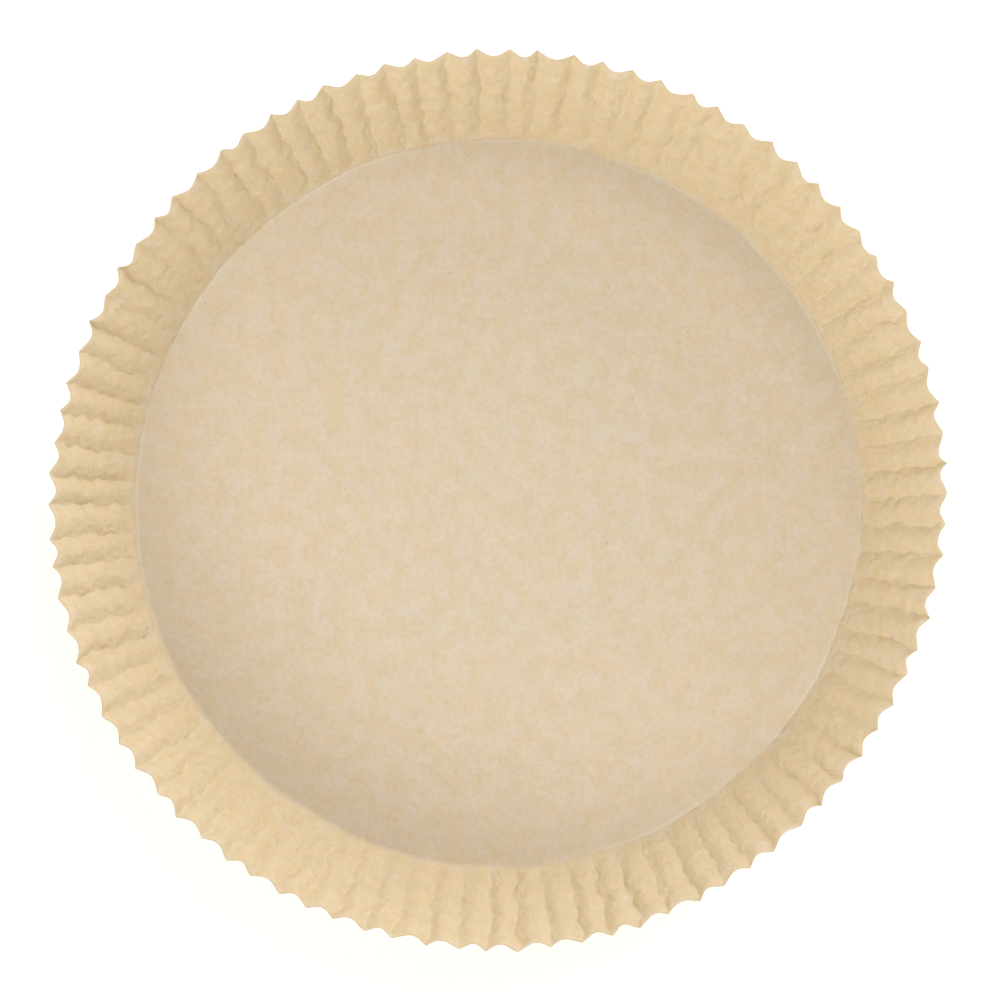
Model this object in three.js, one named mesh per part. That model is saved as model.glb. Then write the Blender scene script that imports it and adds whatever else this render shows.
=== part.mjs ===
// A round paper liner for an air fryer basket: one sheet of greaseproof paper, pressed between
// fluted dies into a shallow bowl. The flat base turns up at a tight crease, and the wall that
// leans out from there is gathered into even flutes, round on the inside and sharp on the outside.
// Millimetres, +Z up. The origin is the middle of the base's underside.

import * as THREE from 'three';

// Driving dimensions of the formed bowl. Those of the rim are to the middle of the paper's thickness.
const BASE_RADIUS = 82; // to the corner where the base's plane and the wall's line meet
const RIM_RADIUS = 100; // to the tips of the flutes at the rim
const WALL_HEIGHT = 45; // underside of the base to the rim's highest points
const PAPER_THICKNESS = 0.06;
const CREASE_RADIUS = 0.8; // inside of the bend between base and wall

// Driving dimensions of the flutes.
const FLUTE_COUNT = 90;
const FLUTE_DEPTH = 1.6; // in plan at the rim, from the hollows out to the tips
const ROUND_SHARE = 0.5; // share of a flute's width that is round, the rest being straight flanks
const DEPTH_GROWTH = 0.5; // power by which the depth grows up the wall, from nothing at the crease

// How finely the curved surfaces are divided.
const POINTS_PER_FLUTE = 6;
const POINTS_PER_FLUTE_AT_CREASE = 2;
const CREASE_STEPS = 2;
const WALL_RINGS = [0.05, 0.2, 0.5, 1]; // shares of the wall's slope, closer where the flutes start

const PAPER_COLOUR = 0xdfcaa8;

// The sheet's middle surface in section, through the hollows between the flutes.
const middleRadius = CREASE_RADIUS + PAPER_THICKNESS / 2;
const middleHeight = PAPER_THICKNESS / 2;
const wallRun = RIM_RADIUS - FLUTE_DEPTH - BASE_RADIUS;
const wallAngle = Math.atan2(WALL_HEIGHT - middleHeight, wallRun); // the wall's slope to the base
const tangentLength = middleRadius * Math.tan(wallAngle / 2);
const flatLength = BASE_RADIUS - tangentLength;
const bendLength = middleRadius * wallAngle;
const wallLength = Math.hypot(wallRun, WALL_HEIGHT - middleHeight) - tangentLength;

// Radius, height and slope of the section at a distance along the paper from the middle.
function sectionAt(along) {
  if (along <= flatLength) return { radius: along, height: middleHeight, slope: 0 };
  const bent = Math.min(along - flatLength, bendLength);
  const slope = bent / middleRadius;
  const straight = Math.max(along - flatLength - bendLength, 0);
  return {
    radius: flatLength + middleRadius * Math.sin(slope) + straight * Math.cos(slope),
    height: middleHeight + middleRadius * (1 - Math.cos(slope)) + straight * Math.sin(slope),
    slope,
  };
}

// How far out the paper lies across one flute, from 0 in the hollow to 1 at the tip. across runs
// from -1 to 1 between two tips: a round hollow, then straight flanks that meet it smoothly.
function fluteShape(across) {
  const distance = Math.abs(across);
  if (distance < ROUND_SHARE) return distance ** 2 / ROUND_SHARE / (2 - ROUND_SHARE);
  return (2 * distance - ROUND_SHARE) / (2 - ROUND_SHARE);
}

// A point of the middle surface. turns counts flutes round the axis, with a tip at each whole
// number. The flutes stand out square to the wall, so the paper keeps its length up the wall, and
// the tips end a little lower than the hollows.
function sheetPoint(turns, along) {
  const { radius, height, slope } = sectionAt(along);
  const climbed = Math.max(along - flatLength - bendLength, 0) / wallLength;
  const across = 2 * (turns - Math.floor(turns)) - 1;
  const depth = (FLUTE_DEPTH / Math.sin(wallAngle)) * climbed ** DEPTH_GROWTH * fluteShape(across);
  const angle = (turns / FLUTE_COUNT) * 2 * Math.PI;
  const reach = radius + depth * Math.sin(slope);
  return new THREE.Vector3(
    reach * Math.cos(angle),
    reach * Math.sin(angle),
    height - depth * Math.cos(slope),
  );
}

// The surface's direction towards the inside of the bowl, from points a small step to each side.
// At a tip the two sides differ, and this gives the direction midway between them.
function sheetNormal(turns, along) {
  const step = 0.01;
  const end = flatLength + bendLength + wallLength;
  const before = sheetPoint(turns, along - step);
  const after = sheetPoint(turns, Math.min(along + step, end));
  const left = sheetPoint(turns + step, along);
  const right = sheetPoint(turns - step, along);
  return left.sub(right).cross(before.sub(after)).normalize();
}

// A closed mesh that is put together ring by ring.
class SheetMesh {
  constructor() {
    this.positions = [];
    this.triangles = [];
  }

  addPoint(point) {
    this.positions.push(point.x, point.y, point.z);
    return this.positions.length / 3 - 1;
  }

  // A ring of points round the axis on one face of the paper: side 1 is inside the bowl, -1 outside.
  addRing(along, pointsPerFlute, side) {
    const count = FLUTE_COUNT * pointsPerFlute;
    const ring = [];
    for (let i = 0; i < count; i++) {
      const turns = i / pointsPerFlute;
      const offset = sheetNormal(turns, along).multiplyScalar((side * PAPER_THICKNESS) / 2);
      ring.push(this.addPoint(sheetPoint(turns, along).add(offset)));
    }
    return ring;
  }

  addTriangle(a, b, c, side) {
    if (side > 0) this.triangles.push(a, b, c);
    else this.triangles.push(a, c, b);
  }

  // Joins a ring to the next one out, which has as many points or a whole number of times more.
  joinRings(near, far, side) {
    const ratio = far.length / near.length;
    const crossing = Math.ceil(ratio / 2); // where the fan moves on to the near ring's next point
    for (let i = 0; i < near.length; i++) {
      const next = near[(i + 1) % near.length];
      for (let k = 0; k < ratio; k++) {
        const a = far[i * ratio + k];
        const b = far[(i * ratio + k + 1) % far.length];
        this.addTriangle(k < crossing ? near[i] : next, a, b, side);
        if (k === crossing - 1) this.addTriangle(near[i], b, next, side);
      }
    }
  }

  toGeometry() {
    const geometry = new THREE.BufferGeometry();
    geometry.setAttribute('position', new THREE.Float32BufferAttribute(this.positions, 3));
    geometry.setIndex(this.triangles);
    geometry.computeVertexNormals();
    return geometry;
  }
}

// One face of the paper, from the middle of the base to the rim. Returns the ring at the rim.
function addFace(mesh, side) {
  const middle = new THREE.Vector3(0, 0, middleHeight + (side * PAPER_THICKNESS) / 2);
  const centre = mesh.addPoint(middle);
  let last = mesh.addRing(flatLength, POINTS_PER_FLUTE_AT_CREASE, side);
  last.forEach((point, i) => mesh.addTriangle(centre, point, last[(i + 1) % last.length], side));

  const joinNext = (along, pointsPerFlute) => {
    const ring = mesh.addRing(along, pointsPerFlute, side);
    mesh.joinRings(last, ring, side);
    last = ring;
  };
  for (let i = 1; i <= CREASE_STEPS; i++) {
    joinNext(flatLength + (bendLength * i) / CREASE_STEPS, POINTS_PER_FLUTE_AT_CREASE);
  }
  for (const share of WALL_RINGS) {
    joinNext(flatLength + bendLength + wallLength * share, POINTS_PER_FLUTE);
  }
  return last;
}

function makeLiner() {
  const mesh = new SheetMesh();
  const insideRim = addFace(mesh, 1);
  const outsideRim = addFace(mesh, -1);
  mesh.joinRings(insideRim, outsideRim, 1);
  return mesh.toGeometry();
}

const paper = new THREE.MeshStandardMaterial({
  color: PAPER_COLOUR,
  roughness: 0.85,
  metalness: 0,
  name: 'greaseproof_paper',
});

const liner = new THREE.Mesh(makeLiner(), paper);
liner.name = 'paper_liner';

const group = new THREE.Group();
group.add(liner);

export default group;
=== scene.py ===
# %% [markdown]
# A fluted paper liner. This lesson dresses one pressed sheet of paper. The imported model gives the
# bowl's true size: a flat base, a tight crease and a wall of ninety flutes. Here the same sheet
# is made again with the small things that paper does by itself, such as flutes that wander,
# crests that crinkle and a crease that tucks, and it gets its fibres and its colour.

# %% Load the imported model
import math

import bpy
import numpy as np
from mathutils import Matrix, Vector, noise


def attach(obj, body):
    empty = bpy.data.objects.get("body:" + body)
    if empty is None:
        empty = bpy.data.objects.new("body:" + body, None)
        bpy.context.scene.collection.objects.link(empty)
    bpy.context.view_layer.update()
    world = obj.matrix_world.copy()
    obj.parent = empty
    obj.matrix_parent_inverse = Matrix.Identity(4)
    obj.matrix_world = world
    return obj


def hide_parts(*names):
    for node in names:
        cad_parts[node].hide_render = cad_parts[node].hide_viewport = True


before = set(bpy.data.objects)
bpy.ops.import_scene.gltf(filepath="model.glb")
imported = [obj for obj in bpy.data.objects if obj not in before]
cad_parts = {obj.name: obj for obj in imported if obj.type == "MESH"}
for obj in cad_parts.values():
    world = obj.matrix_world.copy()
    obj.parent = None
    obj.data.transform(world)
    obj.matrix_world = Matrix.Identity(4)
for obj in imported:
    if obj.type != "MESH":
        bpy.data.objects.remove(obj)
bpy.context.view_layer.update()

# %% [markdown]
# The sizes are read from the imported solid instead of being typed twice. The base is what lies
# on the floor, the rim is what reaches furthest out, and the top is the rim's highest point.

MM = 0.001
ON_FLOOR = 0.01 * MM  # what lies lower than this is the base's underside

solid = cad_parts["paper_liner"]
corners = np.array([v.co for v in solid.data.vertices])
reach = np.hypot(corners[:, 0], corners[:, 1])
FLAT_RADIUS = reach[corners[:, 2] < ON_FLOOR].max()
RIM_RADIUS = reach.max()
HEIGHT = corners[:, 2].max()
print(f"base {FLAT_RADIUS / MM:.2f} mm, rim {RIM_RADIUS / MM:.2f} mm, height {HEIGHT / MM:.2f} mm")

# %% [markdown]
# The paper is photographed from straight above, through a long lens, so that the wall shows
# only as a narrow ring. A perspective camera four metres up gives the same proportions between
# base and rim. It leans a little to the front, which moves the base down in the picture.

# %% Camera
CAMERA_DISTANCE = 4.05
CAMERA_LEAN = math.radians(0.8)
CAMERA_ROLL = math.radians(-0.7)
PICTURE_WIDTH = 222.6 * MM  # what the frame takes in at the height of the rim
AIM_ASIDE = 0.43 * MM
AIM = Vector((AIM_ASIDE, 0.0, HEIGHT))

camera = bpy.data.objects.new("camera", bpy.data.cameras.new("camera"))
bpy.context.collection.objects.link(camera)
camera.data.lens = camera.data.sensor_width * CAMERA_DISTANCE / PICTURE_WIDTH
away = Vector((0, -math.sin(CAMERA_LEAN), math.cos(CAMERA_LEAN)))
camera.location = AIM + CAMERA_DISTANCE * away
camera.rotation_euler = (-away).to_track_quat("-Z", "Y").to_euler()
camera.rotation_euler.rotate_axis("Z", CAMERA_ROLL)
bpy.context.scene.camera = camera
print(f"camera at {tuple(round(c, 3) for c in camera.location)}, lens {camera.data.lens:.0f} mm")

# %% [markdown]
# Shader maths reads best as plain arithmetic, so a small class wraps a node's output and gives
# it the operators. Each use of `+` or `*` adds a Math node. Every other node comes from `node`,
# which sets a node's settings first and then its inputs, by number or by name.


# %% A short way to write shaders
class Value:
    """The output of a node, with arithmetic that adds Math nodes."""

    def __init__(self, shader, socket):
        self.shader = shader
        self.socket = socket

    def math(self, operation, *others):
        return self.shader.node("ShaderNodeMath", {"operation": operation}, [self, *others])

    def __add__(self, other):
        return self.math("ADD", other)

    def __sub__(self, other):
        return self.math("SUBTRACT", other)

    def __mul__(self, other):
        return self.math("MULTIPLY", other)

    def __rsub__(self, other):
        return self.shader.node("ShaderNodeMath", {"operation": "SUBTRACT"}, [other, self])

    __radd__ = __add__
    __rmul__ = __mul__

    def output(self, name):
        """Another output of the same node."""
        return Value(self.shader, self.socket.node.outputs[name])

    def ramp(self, low, high, to_low=0.0, to_high=1.0):
        """This value, moved from the range low to high into to_low to to_high, smoothly."""
        settings = {"interpolation_type": "SMOOTHSTEP"}
        return self.shader.node("ShaderNodeMapRange", settings, [self, low, high, to_low, to_high])


class Shader:
    """The node tree of a material or a world, emptied, with short calls that add to it."""

    def __init__(self, owner):
        owner.use_nodes = True
        self.owner = owner
        self.tree = owner.node_tree
        self.tree.nodes.clear()

    def node(self, kind, settings, inputs, output=0):
        made = self.tree.nodes.new(kind)
        for key, setting in settings.items():
            setattr(made, key, setting)
        for key, value in inputs.items() if isinstance(inputs, dict) else enumerate(inputs):
            if isinstance(value, Value):
                self.tree.links.new(value.socket, made.inputs[key])
            else:
                made.inputs[key].default_value = value
        return Value(self, made.outputs[output])

    def mix(self, share, first, second, blend="MIX"):
        """Two colours, mixed by share, or the first one tinted by the second with MULTIPLY."""
        # A Mix node has sockets for each type of data. These numbers are those for colours.
        settings = {"data_type": "RGBA", "clamp_factor": True, "blend_type": blend}
        return self.node("ShaderNodeMix", settings, {0: share, 6: first, 7: second}, 2)

    def noise(self, place, size, detail=0.0, roughness=0.5):
        """Cloudy noise from 0 to 1 with features of this size in metres."""
        inputs = {"Vector": place, "Scale": 1 / size, "Detail": detail, "Roughness": roughness}
        return self.node("ShaderNodeTexNoise", {}, inputs)

    def seen_directly(self):
        """1 for rays that look at a thing as the camera does, 0 for those that carry its light."""
        camera_ray = self.node("ShaderNodeLightPath", {}, {}, "Is Camera Ray")
        glossy_ray = camera_ray.output("Is Glossy Ray")
        clear_ray = camera_ray.output("Is Transmission Ray") - camera_ray.output("Is Diffuse Ray")
        return camera_ray.math("MAXIMUM", glossy_ray).math("MAXIMUM", clear_ray)

    def finish(self, surface, kind="ShaderNodeOutputMaterial"):
        out = self.tree.nodes.new(kind)
        self.tree.links.new(surface.socket, out.inputs["Surface"])
        return self.owner


def rgb(red, green, blue):
    """A colour as it is seen on a screen, from 0 to 255, as the linear values that nodes take."""
    def linear(c):
        c = c / 255
        return c / 12.92 if c <= 0.04045 else ((c + 0.055) / 1.055) ** 2.4

    return (linear(red), linear(green), linear(blue), 1.0)


# %% [markdown]
# A pale room fills in the shadows. It is brighter near the horizon than overhead, because light
# from the side is what reaches the steep wall. To the camera, and to anything that mirrors or
# is clear, the room is one pale grey. Light that soaks through paper counts as transmitted too,
# but it is diffuse, so it is left out and gets the room's plain light. Such light could bounce on
# and on between the sheet and the worktop, so each ray ends after a few bounces. The light tree
# is meant for rooms with many lamps, and costs more than it saves with three.

# %% World
HORIZON_LIGHT = 1.62
ZENITH_LIGHT = 0.26
BOUNCES = 4


def make_world():
    shader = Shader(bpy.data.worlds.new("world"))
    direction = shader.node("ShaderNodeTexCoord", {}, {}, "Generated")
    height = shader.node("ShaderNodeSeparateXYZ", {}, [direction], "Z").math("ABSOLUTE")
    light = HORIZON_LIGHT + height * (ZENITH_LIGHT - HORIZON_LIGHT)
    seen = shader.seen_directly()
    strength = seen + (1 - seen) * light
    surface = shader.node("ShaderNodeBackground", {}, {"Strength": strength})
    return shader.finish(surface, "ShaderNodeOutputWorld")


bpy.context.scene.world = make_world()
bpy.context.scene.cycles.max_bounces = BOUNCES
bpy.context.scene.cycles.use_light_tree = False
bpy.context.scene.view_settings.view_transform = "Standard"
print(f"world from {HORIZON_LIGHT} at the horizon to {ZENITH_LIGHT} overhead")

# %% [markdown]
# Paper shows its folds only in light that comes from one side. Large soft lamps stand at the upper
# right of the picture, one high and one low, and a single one stands nearly opposite, at the lower
# left. So each flute has a lit and a shaded flank in two parts of the ring, and hardly any in
# between. The two that stand high also keep the wall's shadow on the base small.

# %% Lamps
LAMP_DISTANCE = 1.6
LAMP_SIZE = 0.9
LAMPS = {  # azimuth and elevation in degrees, and watts
    "upper_right_high": (55, 65, 8.4),
    "upper_right_low": (55, 27, 6.3),
    "lower_left": (231, 50, 10.1),
}


def make_lamp(name, azimuth, elevation, watts):
    data = bpy.data.lights.new(name, "AREA")
    data.shape = "DISK"
    data.size = LAMP_SIZE
    data.energy = watts
    lamp = bpy.data.objects.new(name, data)
    flat = math.cos(elevation)
    towards = Vector((flat * math.cos(azimuth), flat * math.sin(azimuth), math.sin(elevation)))
    lamp.location = LAMP_DISTANCE * towards
    lamp.rotation_euler = (-towards).to_track_quat("-Z", "Y").to_euler()
    bpy.context.collection.objects.link(lamp)


for name, (azimuth, elevation, watts) in LAMPS.items():
    make_lamp(name, math.radians(azimuth), math.radians(elevation), watts)
print(f"{len(LAMPS)} lamps")

# %% [markdown]
# The worktop is one white plane. To the camera it adds a little light of its own, which lifts
# it to the picture's white and still lets a faint shadow show.

# %% Worktop
FLOOR_SIZE = 12.0
FLOOR_GAP = 0.1 * MM  # keeps the base and the worktop from sharing a plane
FLOOR_COLOUR = (0.86, 0.86, 0.86, 1.0)
FLOOR_LIFT = 0.26


def deselect_all():
    for thing in bpy.context.selected_objects:
        thing.select_set(False)


def make_floor():
    deselect_all()
    bpy.ops.mesh.primitive_plane_add(size=FLOOR_SIZE, location=(0, 0, -FLOOR_GAP))
    floor = bpy.context.object
    floor.name = "worktop"
    shader = Shader(bpy.data.materials.new("worktop"))
    diffuse = shader.node("ShaderNodeBsdfDiffuse", {}, {"Color": FLOOR_COLOUR})
    lift = shader.node("ShaderNodeEmission", {}, {"Strength": shader.seen_directly() * FLOOR_LIFT})
    surface = shader.node("ShaderNodeAddShader", {}, [diffuse, lift])
    floor.data.materials.append(shader.finish(surface))
    return floor


make_floor()
print("worktop laid")

# %% [markdown]
# In section the sheet runs out flat along the base, bends up round the crease and climbs straight
# to the rim. The wall's slope follows from the sizes: it is the line from the rim that just
# touches the crease's arc. All the rest of the lesson speaks of distances along the paper.

# %% The sheet's section
FLUTE_DEPTH = 1.62 * MM  # at the rim, seen from above
CREASE_RADIUS = 0.83 * MM  # to the middle of the paper's thickness
PAPER_THICKNESS = 0.06 * MM

run = RIM_RADIUS - FLUTE_DEPTH - FLAT_RADIUS
rise = HEIGHT - PAPER_THICKNESS / 2 - CREASE_RADIUS
WALL_ANGLE = math.atan2(rise, run) + math.asin(CREASE_RADIUS / math.hypot(run, rise))
WALL_START = FLAT_RADIUS + CREASE_RADIUS * WALL_ANGLE
WALL_LENGTH = math.sqrt(run**2 + rise**2 - CREASE_RADIUS**2)
SHEET_RADIUS = WALL_START + WALL_LENGTH


def section_at(along):
    """Radius, height and slope of the plain bowl at distances along the paper from its middle."""
    slope = np.clip(along - FLAT_RADIUS, 0, WALL_START - FLAT_RADIUS) / CREASE_RADIUS
    straight = np.clip(along - WALL_START, 0, None)
    flat = np.minimum(along, FLAT_RADIUS)
    radius = flat + CREASE_RADIUS * np.sin(slope) + straight * np.cos(slope)
    height = PAPER_THICKNESS / 2 + CREASE_RADIUS * (1 - np.cos(slope)) + straight * np.sin(slope)
    return radius, height, slope


print(f"wall at {math.degrees(WALL_ANGLE):.1f} degrees, flat sheet {2 * SHEET_RADIUS / MM:.0f} mm across")

# %% [markdown]
# The bowl starts as a filled circle in the middle of the base. Its edge is extruded again and
# again, each time scaled out and moved up to the next ring of the section: few rings on the flat
# base, more in the bend and on the wall. Fourteen columns to each flute are enough to draw a
# sharp crest, a round hollow and the small wrinkles between them.

# %% Raise the plain bowl
FLUTES = 90
COLUMNS_PER_FLUTE = 14
BEFORE_CREASE = 0.5 * MM
BASE_RINGS = [50 * MM, 73 * MM, 78 * MM, FLAT_RADIUS - BEFORE_CREASE, FLAT_RADIUS]
CREASE_RINGS = 3
WALL_RINGS = 31

crease_rings = np.linspace(FLAT_RADIUS, WALL_START, CREASE_RINGS + 1)[1:]
wall_rings = np.linspace(WALL_START, SHEET_RADIUS, WALL_RINGS + 1)[1:]
RINGS = np.concatenate([BASE_RINGS, crease_rings, wall_rings])
RING_RADII, RING_HEIGHTS, _ = section_at(RINGS)


def raise_bowl():
    deselect_all()
    bpy.ops.mesh.primitive_circle_add(
        vertices=FLUTES * COLUMNS_PER_FLUTE, radius=RING_RADII[0], fill_type="TRIFAN"
    )
    bowl = bpy.context.object
    bowl.name = "paper_sheet"
    bpy.ops.object.mode_set(mode="EDIT")
    bpy.ops.transform.translate(value=(0, 0, RING_HEIGHTS[0]))
    bpy.ops.mesh.select_all(action="DESELECT")
    bpy.ops.mesh.select_non_manifold()
    for i in range(1, len(RINGS)):
        grow = RING_RADII[i] / RING_RADII[i - 1]
        lift = RING_HEIGHTS[i] - RING_HEIGHTS[i - 1]
        bpy.ops.mesh.extrude_edges_move(TRANSFORM_OT_translate={"value": (0, 0, lift)})
        bpy.ops.transform.resize(value=(grow, grow, 1), center_override=(0, 0, 0))
    bpy.ops.mesh.select_all(action="SELECT")
    bpy.ops.mesh.normals_make_consistent(inside=False)
    bpy.ops.object.mode_set(mode="OBJECT")
    return bowl


sheet = raise_bowl()
print(f"{len(sheet.data.vertices)} points in {len(RINGS)} rings")

# %% [markdown]
# No operator presses ninety uneven flutes, so from here the points are moved in code. Each point
# first gets its place on the flat sheet: its angle, and its distance along the paper, which is
# that of the ring it belongs to. Noise read at that place is how the paper's small faults vary.

# %% Find each point's place on the flat sheet
points = np.array([v.co for v in sheet.data.vertices])
angle = np.arctan2(points[:, 1], points[:, 0]) % (2 * math.pi)
section = np.column_stack([np.hypot(points[:, 0], points[:, 1]), points[:, 2]])
ring_section = np.column_stack([RING_RADII, RING_HEIGHTS])
ring = np.argmin(np.linalg.norm(section[:, None] - ring_section[None], axis=2), axis=1)
along = np.where(section[:, 0] < RING_RADII[0] / 2, 0, RINGS[ring])
climbed = np.clip((along - WALL_START) / WALL_LENGTH, 0, 1)


UNCHANGING = 1e9  # a length so great that noise stays the same along it
LAYER_STEP = 37.3  # how far apart two layers of noise are read
FIRST_LAYER = {"sways": 0, "crumples": 5, "crease": 9, "rim": 12}


def sheet_noise(around_length, along_length, layer):
    """Noise from about -1 to 1, with features of these lengths round and along the wall."""
    around = RIM_RADIUS / around_length
    places = [around * np.cos(angle), around * np.sin(angle), along / along_length + LAYER_STEP * layer]
    return np.array([noise.noise(place) for place in np.column_stack(places).tolist()])


print(f"{np.count_nonzero(climbed)} points on the wall")

# %% [markdown]
# Flutes come from dies with even teeth, but paper springs back unevenly. Each crest has a small
# shift of its own, sways sideways on its way up, and stands taller or lower, and a tall crest
# tends to leave its neighbour low. In between, a flute is a round hollow with straight flanks.
# The columns are gathered towards the crests, where the paper turns sharply.

# %% Press the flutes
ROUND_SHARE = 0.5  # share of a flute that is round, the rest being straight flanks
DEPTH_GROWTH = 0.4  # power by which the depth grows up the wall
SPACING_JITTER = 0.03  # of a flute's width
DEPTH_JITTER = 0.11
TURN_ABOUT = -0.55  # how far a tall crest makes the next one low
SWAYS = [(0.12, 14 * MM), (0.16, 5 * MM)]  # of a flute's width, and how long each sway is
SWAY_PATCH = 7 * MM  # how far round the wall a sway holds together
FADE_IN = 1 / 8  # share of the wall over which these faults set in
SEED = 7

rng = np.random.default_rng(SEED)
crest_shifts = rng.normal(0, SPACING_JITTER, FLUTES)
crest_depths = rng.normal(0, 1, FLUTES)
for i in range(1, FLUTES):
    crest_depths[i] += TURN_ABOUT * crest_depths[i - 1]
crest_depths = 1 + DEPTH_JITTER * crest_depths / crest_depths.std()

column = np.round(angle / (2 * math.pi) * FLUTES * COLUMNS_PER_FLUTE).astype(int)
flute = column // COLUMNS_PER_FLUTE % FLUTES
even = 2 * (column % COLUMNS_PER_FLUTE) / COLUMNS_PER_FLUTE - 1
across = (even + np.sin(even * math.pi / 2)) / 2
onward = (across + 1) / 2  # from 0 at one crest to 1 at the next


def between_crests(values):
    """A value for each point, from those of the crests on its two sides."""
    return (1 - onward) * values[flute] + onward * values[(flute + 1) % FLUTES]


def flute_shape(distance):
    """0 in the hollow and 1 at the crest: a parabola that runs on as a straight flank."""
    hollow = distance**2 / ROUND_SHARE / (2 - ROUND_SHARE)
    flank = (2 * distance - ROUND_SHARE) / (2 - ROUND_SHARE)
    return np.where(distance < ROUND_SHARE, hollow, flank)


on_wall = np.clip(climbed / FADE_IN, 0, 1)
sway = 0 * angle
for layer, (width, length) in enumerate(SWAYS, start=FIRST_LAYER["sways"]):
    sway += width * sheet_noise(SWAY_PATCH, length, layer)
turns = flute + onward + (between_crests(crest_shifts) + sway) * on_wall
growth = climbed**DEPTH_GROWTH * between_crests(crest_depths)
depth = FLUTE_DEPTH / math.sin(WALL_ANGLE) * growth * flute_shape(np.abs(across))
print(f"{FLUTES} flutes, up to {depth.max() / MM:.2f} mm deep")

# %% [markdown]
# Gathered paper can't shrink, so it crumples into small sharp ridges. Noise that is folded at
# zero has such ridges. Three sizes of it are added, from wrinkles wider than half a flute down to
# those that only roughen a crest. The rim stays calmer, because the die holds it best.

# %% Crumple the wall
CRUMPLES = [  # height, length round the wall and length up the wall of each kind
    (0.35 * MM, 4.2 * MM, 6.5 * MM),
    (0.42 * MM, 2.3 * MM, 4.5 * MM),
    (0.25 * MM, 1.5 * MM, 3.2 * MM),
]
RIM_CALM = 0.5  # share of the wrinkles' height that is lost at the rim
CALM_GROWTH = 3  # power by which that share grows up the wall

wrinkled = on_wall * (1 - RIM_CALM * climbed**CALM_GROWTH)

for layer, (height, around_length, along_length) in enumerate(CRUMPLES, start=FIRST_LAYER["crumples"]):
    ridges = -np.abs(sheet_noise(around_length, along_length, layer))
    depth += height * (ridges - ridges.mean()) * wrinkled
print(f"{len(CRUMPLES)} sizes of wrinkle")

# %% [markdown]
# The crease isn't a true circle either. It wobbles a little, and in three places the base's edge
# has a small tuck, pushed out or in where a flute was pressed badly. All this fades out to both
# sides of the crease.

# %% Tuck the crease
CREASE_WAVES = [(0.4 * MM, 14 * MM), (0.25 * MM, 4.5 * MM)]  # size and length
CREASE_REACH = 8 * MM  # how far to each side the wobble is felt
TUCKS = {"right": (-8.3, 0.9 * MM), "back": (74.0, 0.6 * MM), "back_right": (66.0, -0.5 * MM)}
TUCK_WIDTH = math.radians(1.6)

shift_out = 0 * angle
for layer, (size, length) in enumerate(CREASE_WAVES, start=FIRST_LAYER["crease"]):
    shift_out += size * sheet_noise(length, UNCHANGING, layer)
for azimuth, size in TUCKS.values():
    aside = (angle - math.radians(azimuth) + math.pi) % (2 * math.pi) - math.pi
    shift_out += size * np.clip(1 - np.abs(aside) / TUCK_WIDTH, 0, 1)
near_crease = np.clip(1 - np.abs(along - FLAT_RADIUS) / CREASE_REACH, 0, 1)
shift_out *= near_crease
print(f"crease moved by up to {np.abs(shift_out).max() / MM:.2f} mm, with {len(TUCKS)} tucks")

# %% [markdown]
# Thin paper doesn't hold a true round. Seen from above this bowl is a little oval and a little
# square, and its rim rises and falls slightly. With that, every point has its new place.

# %% Move the points
OVAL = (0.65 * MM, math.radians(55))
SQUARE = (0.37 * MM, math.radians(10))
RIM_RISE = 0.6 * MM
RIM_WAVE = 45 * MM

turned = 2 * math.pi * turns / FLUTES
out_of_round = OVAL[0] * np.cos(2 * (turned - OVAL[1])) + SQUARE[0] * np.cos(4 * (turned - SQUARE[1]))
rim_wave = sheet_noise(RIM_WAVE, UNCHANGING, FIRST_LAYER["rim"])
radius, up, slope = section_at(along)
radius = radius + depth * np.sin(slope) + out_of_round * climbed + shift_out
up = up - depth * np.cos(slope) * (climbed > 0) + RIM_RISE * rim_wave * climbed
moved = np.column_stack([radius * np.cos(turned), radius * np.sin(turned), up])
sheet.data.vertices.foreach_set("co", moved.ravel())
sheet.data.update()
print(f"rim from {up[climbed == 1].min() / MM:.1f} to {up.max() / MM:.1f} mm high")

# %% [markdown]
# Two things about each point are kept on the mesh for the finish: its place on the flat sheet,
# so that the fibres follow the paper round its folds, and how close it is to a fold, because
# folds are painted paler, partly for whitened pressed fibres and partly as a painted highlight.
# Then Solidify gives the sheet its thickness, half to each side.

# %% Keep the flat sheet and give the paper its thickness
CREST_WIDTH = 0.12  # of half a flute's width
CREASE_WIDTH = 0.35 * MM

at_crest = np.clip(1 - (1 - np.abs(across)) / CREST_WIDTH, 0, 1) * on_wall
at_crease = np.clip(1 - np.abs(along - FLAT_RADIUS) / CREASE_WIDTH, 0, 1)
flat_sheet = np.column_stack([along * np.cos(angle), along * np.sin(angle), 0 * along])
places = sheet.data.attributes.new("flat_sheet", "FLOAT_VECTOR", "POINT")
places.data.foreach_set("vector", flat_sheet.ravel())
folds = sheet.data.attributes.new("fold", "FLOAT", "POINT")
folds.data.foreach_set("value", np.maximum(at_crest, at_crease))

deselect_all()
sheet.select_set(True)
bpy.context.view_layer.objects.active = sheet
thicken = sheet.modifiers.new("paper", "SOLIDIFY")
thicken.thickness = PAPER_THICKNESS
thicken.offset = 0
bpy.ops.object.modifier_apply(modifier=thicken.name)
bpy.ops.object.shade_smooth()
print(f"{sum(len(p.vertices) - 2 for p in sheet.data.polygons)} triangles")
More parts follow.
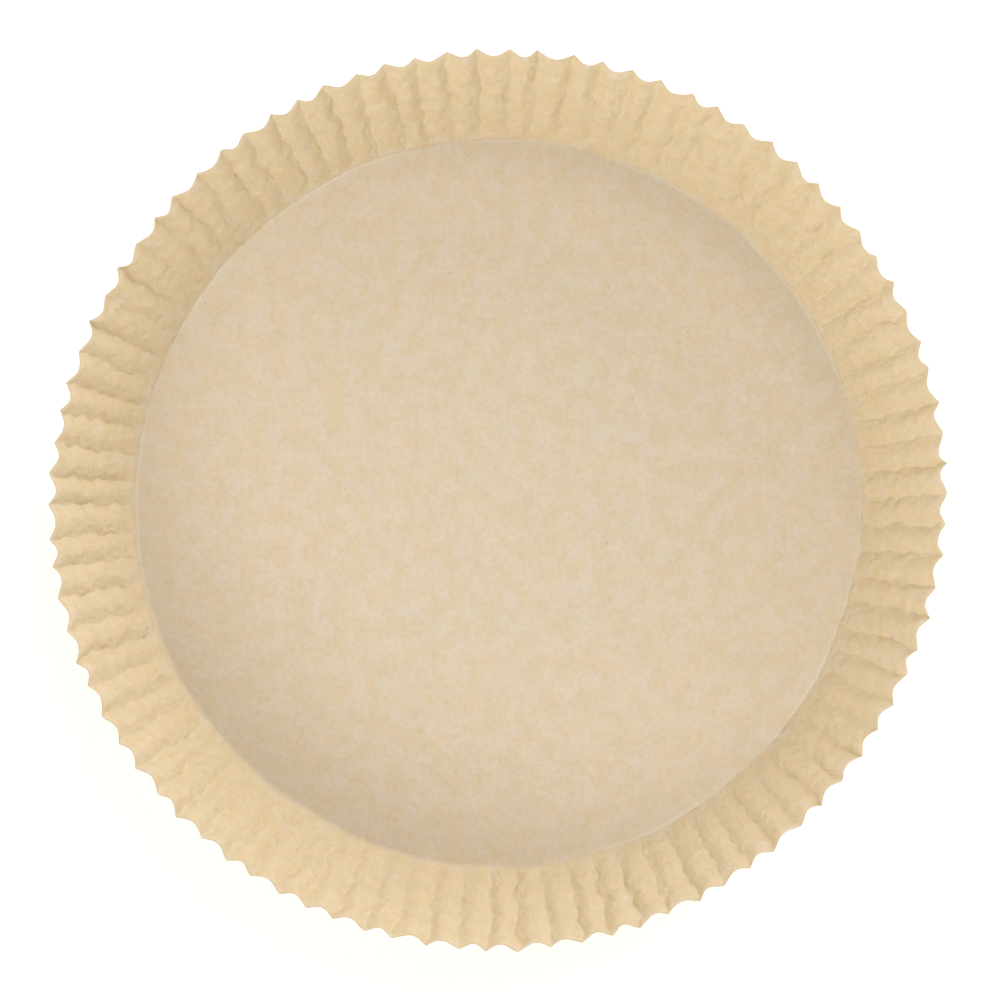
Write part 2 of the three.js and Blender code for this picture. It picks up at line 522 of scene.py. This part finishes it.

# %% [markdown]
# The paper is unbleached: a warm straw colour, clouded yellower where the pulp lay thicker and
# pinker where it held more bark, with fine fibres all over and now and then a dark speck. In
# parts, its folds are a little paler, partly from whitened pressed fibres and partly as a painted
# highlight, and a band inside the crease has a painted sheen. The last millimetre before the rim
# is darker.

# %% Colour of the paper
PALE = rgb(243, 231, 216)
STRAW = rgb(240, 225, 200)
BLUSH = (1.0, 0.985, 0.985, 1.0)
MOSS = (0.972, 0.99, 1.0, 1.0)
FIBRE = (0.93, 0.91, 0.83, 1.0)
BARK = rgb(150, 120, 82)
# painted sheen: a pale band inside the crease, in patches
PAINTED_SHEEN = rgb(242, 234, 216)
# paler folds: partly whitened pressed fibres, partly a painted highlight on the crests and the crease
FOLD_WHITENING_AND_HIGHLIGHT = rgb(252, 246, 230)
# darker within a millimetre of the rim
RIM_DARKENING = (0.84, 0.80, 0.74, 1.0)

CLOUD_SIZE = 4.3 * MM
FIBRE_SIZE = 1.1 * MM
SPECK_SIZE = 1.25 * MM
PATCH_SIZE = 33 * MM
SHEEN_BAND_WIDTH = 3 * MM
EDGE_WIDTH = 1 * MM
SPECK_SHARE = 0.35
PAINTED_SHEEN_SHARE = 0.22
FOLD_WHITENING_AND_HIGHLIGHT_SHARE = 0.45

CLOUD_RANGE = (0.33, 0.67)  # the part of each noise over which the paper changes
TINT_RANGE = (0.35, 0.65)
FIBRE_RANGE = (0.35, 0.75)
SPECK_RANGE = (0.86, 0.89)
PATCH_RANGE = (0.42, 0.6)


def paper_colour(shader, place, fold):
    tones = shader.noise(place, CLOUD_SIZE, 1, 0.6).output("Color")
    cloud = shader.node("ShaderNodeSeparateXYZ", {}, [tones], "X")
    colour = shader.mix(cloud.ramp(*CLOUD_RANGE), PALE, STRAW)
    tint = shader.mix(cloud.output("Y").ramp(*TINT_RANGE), MOSS, BLUSH)
    colour = shader.mix(1.0, colour, tint, "MULTIPLY")
    fibres = shader.noise(place, FIBRE_SIZE, 1, 0.7).ramp(*FIBRE_RANGE)
    colour = shader.mix(fibres, colour, FIBRE, "MULTIPLY")
    specks = shader.noise(place, SPECK_SIZE).ramp(*SPECK_RANGE)
    colour = shader.mix(specks * SPECK_SHARE, colour, BARK)
    distance = shader.node("ShaderNodeVectorMath", {"operation": "LENGTH"}, [place], "Value")
    inside = distance.ramp(FLAT_RADIUS - SHEEN_BAND_WIDTH, FLAT_RADIUS)
    sheen_band = inside - distance.ramp(FLAT_RADIUS, WALL_START)
    patches = shader.noise(place, PATCH_SIZE).ramp(*PATCH_RANGE)
    # painted sheen: the band inside the crease is paler in patches, as the bend would look where it
    # catches the lamps
    colour = shader.mix(sheen_band * patches * PAINTED_SHEEN_SHARE, colour, PAINTED_SHEEN)
    # paler folds, in patches: partly whitened pressed fibres, partly a painted highlight along the crests
    # and the crease
    colour = shader.mix(fold * patches * FOLD_WHITENING_AND_HIGHLIGHT_SHARE, colour, FOLD_WHITENING_AND_HIGHLIGHT)
    # the last millimetre before the rim is darkened
    near_rim = distance.ramp(SHEET_RADIUS - EDGE_WIDTH, SHEET_RADIUS)
    return shader.mix(near_rim, colour, RIM_DARKENING, "MULTIPLY")


# %% [markdown]
# Half of what makes this look like paper is that light soaks through it, which turns the wall
# yellower than the base that lies flat on the white worktop. So the surface is a mix of a matt
# front and a translucent back. The relief is faint on the base, where it stands for the fibres,
# and full on the wall, where it stands for wrinkles that are finer than the mesh. These run up
# the wall, so their noise is stretched in Z.

# %% Paper
SHINES_THROUGH = rgb(249, 231, 171)
SHARE_THROUGH = 0.36
ROUGHNESS = 0.7
WRINKLE_SIZE = 1.5 * MM
WRINKLE_STRETCH = 0.3
BASE_RELIEF = 0.12  # of the wall's
RELIEF_DEPTH = 0.6 * MM


def paper_relief(shader, place):
    stretched = shader.node("ShaderNodeTexCoord", {}, {}, "Object")
    scale = {"Vector": stretched, "Scale": (1.0, 1.0, WRINKLE_STRETCH)}
    wrinkles = shader.noise(shader.node("ShaderNodeMapping", {}, scale), WRINKLE_SIZE, 1)
    distance = shader.node("ShaderNodeVectorMath", {"operation": "LENGTH"}, [place], "Value")
    on_wall = distance.ramp(FLAT_RADIUS, WALL_START, BASE_RELIEF, 1.0)
    inputs = {"Strength": 1.0, "Distance": RELIEF_DEPTH, "Height": wrinkles * on_wall}
    return shader.node("ShaderNodeBump", {}, inputs)


def make_paper():
    shader = Shader(bpy.data.materials.new("greaseproof_paper"))
    place = shader.node("ShaderNodeAttribute", {"attribute_name": "flat_sheet"}, {}, "Vector")
    fold = shader.node("ShaderNodeAttribute", {"attribute_name": "fold"}, {}, "Fac")
    inputs = {
        "Base Color": paper_colour(shader, place, fold),
        "Roughness": ROUGHNESS,
        "Normal": paper_relief(shader, place),
    }
    front = shader.node("ShaderNodeBsdfPrincipled", {}, inputs)
    through = shader.node("ShaderNodeBsdfTranslucent", {}, {"Color": SHINES_THROUGH})
    return shader.finish(shader.node("ShaderNodeMixShader", {}, [SHARE_THROUGH, front, through]))


sheet.data.materials.clear()
sheet.data.materials.append(make_paper())
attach(sheet, "root")
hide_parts("paper_liner")
print("paper finished")
